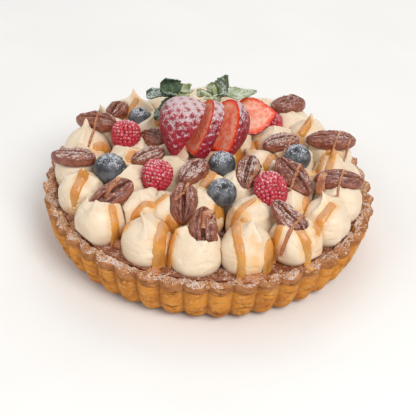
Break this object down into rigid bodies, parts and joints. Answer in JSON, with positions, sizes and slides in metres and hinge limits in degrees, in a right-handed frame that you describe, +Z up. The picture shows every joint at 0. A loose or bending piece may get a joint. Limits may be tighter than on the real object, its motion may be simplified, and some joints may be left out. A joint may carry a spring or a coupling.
{
  "type": "banana caramel tart",
  "caption": "Round fluted shortcrust tart filled with caramel, covered with piped cream kisses, caramel drizzle, pecan halves and berries, with a fanned strawberry behind.",
  "frame": {"origin": "centre of the flat underside, on the surface the tart stands on", "axes": "+Z up, -Y towards the front of the picture's view, +X to its right"},
  "size_m": [0.1988, 0.1988, 0.0865],
  "materials": {
    "pastry": "baked shortcrust, dry and crumbly",
    "caramel": "soft set caramel, glossy where no sugar lies",
    "cream": "piped whipped cream with caramel drizzle, satin",
    "pecan": "roasted nut, slightly oily",
    "blueberry": "dark skin with a grey bloom",
    "raspberry": "moist drupelets",
    "strawberry": "glossy red skin, moist cut flesh",
    "leaf": "fresh leaf dusted with sugar"
  },
  "bodies": {
    "root": {"crust": "pastry", "caramel_filling": "caramel", "cream_kiss_01": "cream", "cream_kiss_02": "cream", "cream_kiss_03": "cream", "cream_kiss_04": "cream", "cream_kiss_05": "cream", "cream_kiss_06": "cream", "cream_kiss_07": "cream", "cream_kiss_08": "cream", "cream_kiss_09": "cream", "cream_kiss_10": "cream", "cream_kiss_11": "cream", "cream_kiss_12": "cream", "cream_kiss_13": "cream", "cream_kiss_14": "cream", "cream_kiss_15": "cream", "cream_kiss_16": "cream", "cream_kiss_17": "cream", "cream_kiss_18": "cream", "cream_kiss_19": "cream", "cream_kiss_20": "cream", "cream_second_ring_1": "cream", "cream_second_ring_2": "cream", "cream_second_ring_3": "cream", "cream_second_ring_4": "cream", "cream_second_ring_5": "cream", "cream_middle": "cream", "pecan_01": "pecan", "pecan_02": "pecan", "pecan_03": "pecan", "pecan_04": "pecan", "pecan_05": "pecan", "pecan_06": "pecan", "pecan_07": "pecan", "pecan_08": "pecan", "pecan_09": "pecan", "pecan_10": "pecan", "pecan_11": "pecan", "pecan_12": "pecan", "pecan_13": "pecan", "pecan_14": "pecan", "pecan_15": "pecan", "pecan_16": "pecan", "blueberry_1": "blueberry", "blueberry_2": "blueberry", "blueberry_3": "blueberry", "blueberry_4": "blueberry", "blueberry_5": "blueberry", "raspberry_1": "raspberry", "raspberry_2": "raspberry", "raspberry_3": "raspberry", "raspberry_4": "raspberry", "strawberry_slice_left": "strawberry", "strawberry_slice_middle": "strawberry", "strawberry_slice_right": "strawberry", "strawberry_slice_far": "strawberry", "calyx_left": "leaf", "calyx_right": "leaf"}
  },
  "joints": []
}
